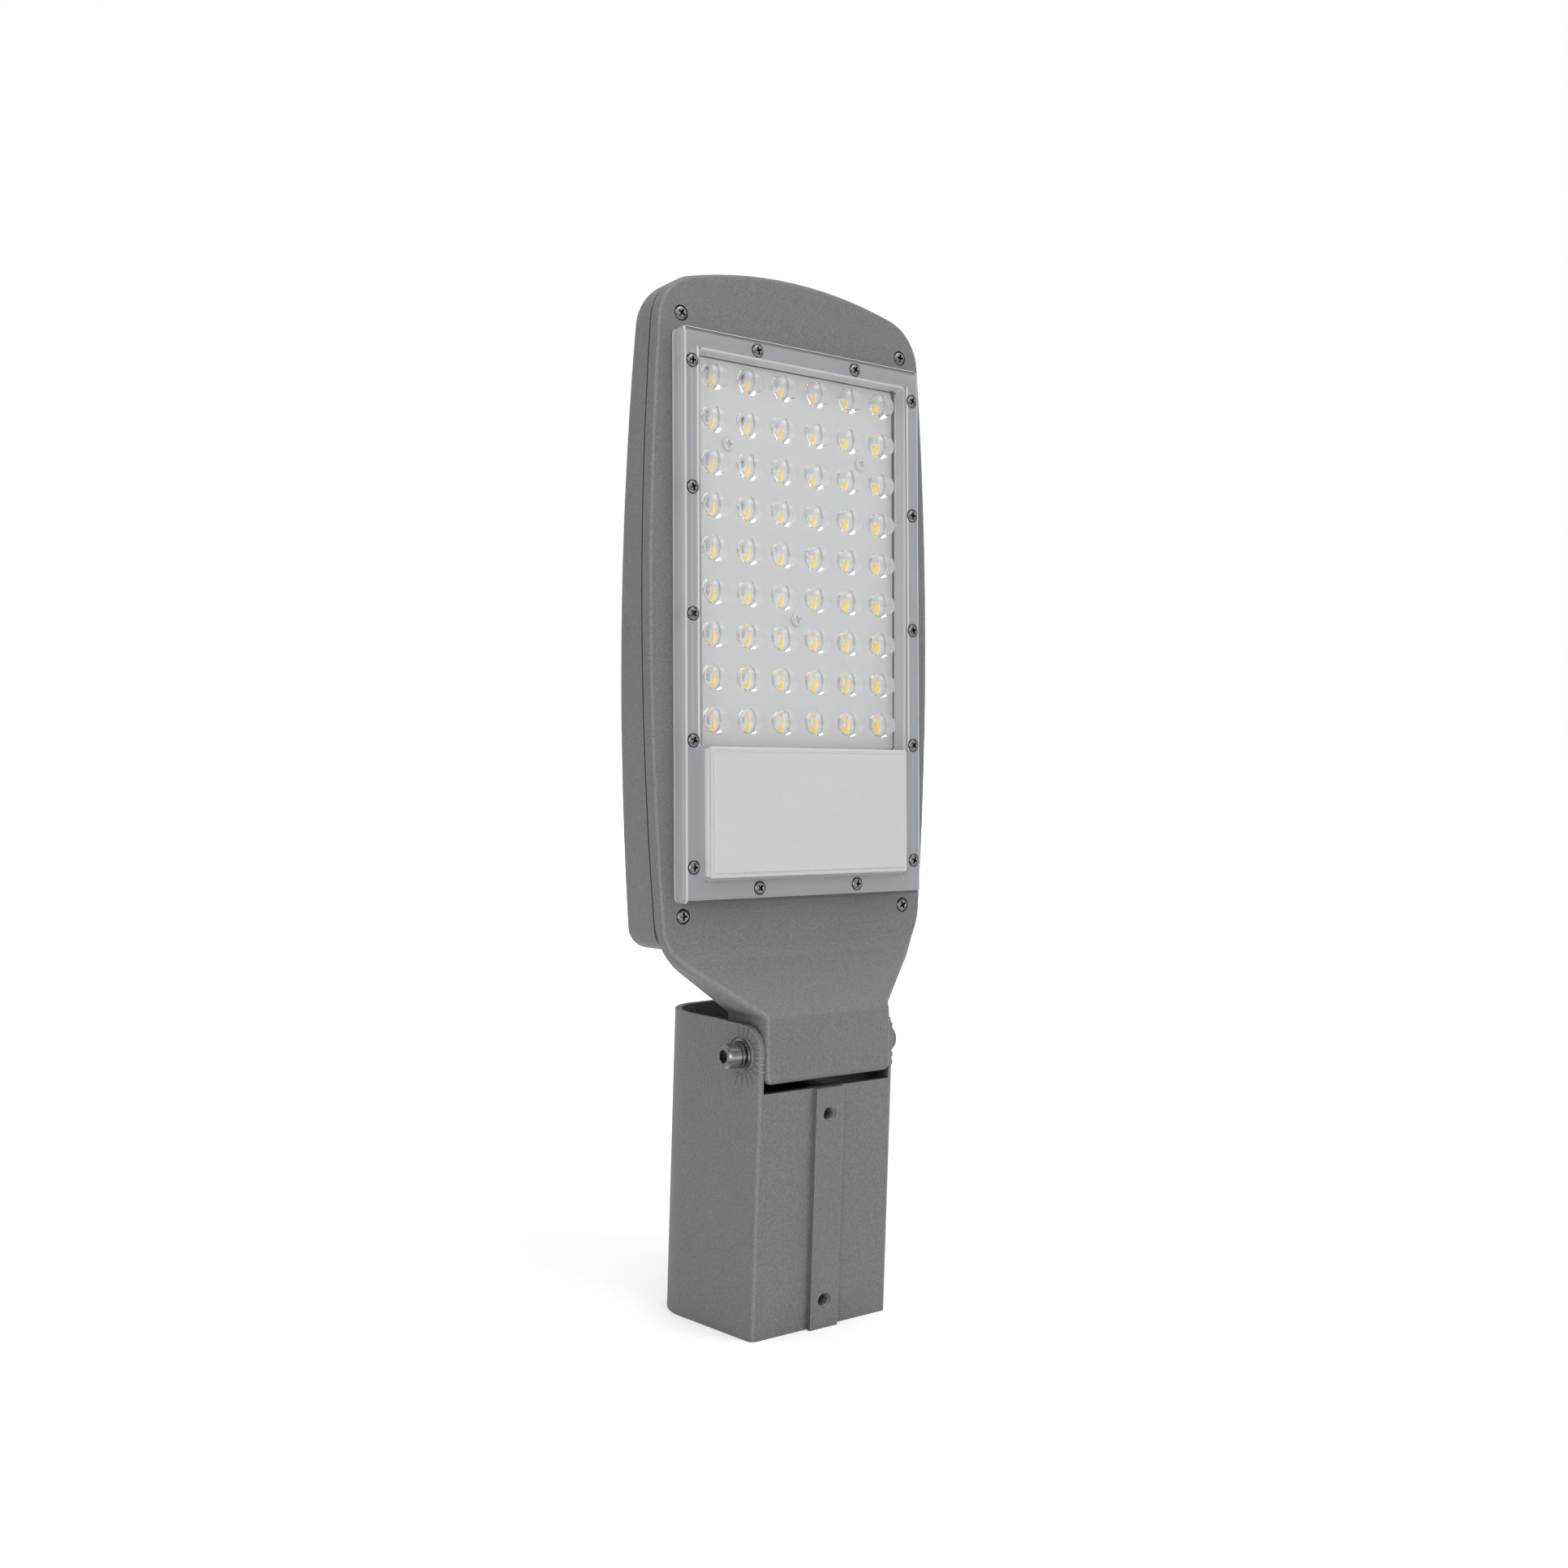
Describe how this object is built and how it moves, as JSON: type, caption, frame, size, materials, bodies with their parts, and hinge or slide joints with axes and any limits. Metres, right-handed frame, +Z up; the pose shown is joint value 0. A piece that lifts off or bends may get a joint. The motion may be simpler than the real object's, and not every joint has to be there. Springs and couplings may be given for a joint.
{
  "type": "solar street lamp",
  "caption": "Flat solar street-lamp head with a moulded lens cover and a rear solar panel, tilting on a cast sleeve for a round pole.",
  "frame": {"origin": "centre of the sleeve's mouth, on the pole's axis", "axes": "+Z up the pole, lenses towards -Y, X across the lamp along the tilt axis"},
  "size_m": [0.1448, 0.0653, 0.4309],
  "materials": {
    "powder_coat": "satin fine-textured grey powder coat over cast aluminium",
    "clear_cover": "clear moulded polycarbonate, polished lenses, frosted box",
    "white_board": "white solder mask on an aluminium board",
    "led_white": "white chip body with yellow phosphor",
    "stainless": "bright stainless steel",
    "silicone": "soft grey silicone",
    "solar_glass": "tempered, lightly textured",
    "solar_cell": "dark blue-black silicon with an anti-reflection coat",
    "backsheet": "white film",
    "battery_wrap": "blue shrink wrap",
    "nickel": "nickel strip",
    "black_plastic": "moulded black nylon",
    "circuit_green": "green solder mask",
    "component_black": "black epoxy and ferrite",
    "connector_white": "natural nylon",
    "wire_red": "insulated copper wire",
    "wire_white": "insulated copper wire"
  },
  "bodies": {
    "sleeve": {"pole_sleeve": "powder_coat", "pivot_bolt": "stainless", "spring_washer": "stainless", "flat_washer": "stainless"},
    "head": {"front_casting": "powder_coat", "rear_housing": "powder_coat", "housing_gasket": "silicone", "lens_cover": "clear_cover", "cover_gasket": "silicone", "led_board": "white_board", "led_chips": "led_white", "thermal_pad": "silicone", "board_screws": "white_board", "cover_screws": "stainless", "housing_screws": "stainless", "solar_glass": "solar_glass", "solar_cells": "solar_cell", "solar_backsheet": "backsheet", "panel_seal": "silicone", "battery_cells": "battery_wrap", "battery_tabs": "nickel", "battery_cradle": "black_plastic", "cradle_screws": "stainless", "controller_board": "circuit_green", "controller_components": "component_black", "controller_connectors": "connector_white", "controller_screws": "stainless", "led_leads": "wire_white", "panel_leads": "wire_red", "battery_leads": "wire_red"}
  },
  "joints": [
    {"name": "head_tilt", "type": "hinge", "parent": "sleeve", "child": "head", "pos_m": [0, -0.022, 0.1139], "axis": [1, 0, 0], "range_deg": [-6.7, 93.3]}
  ]
}
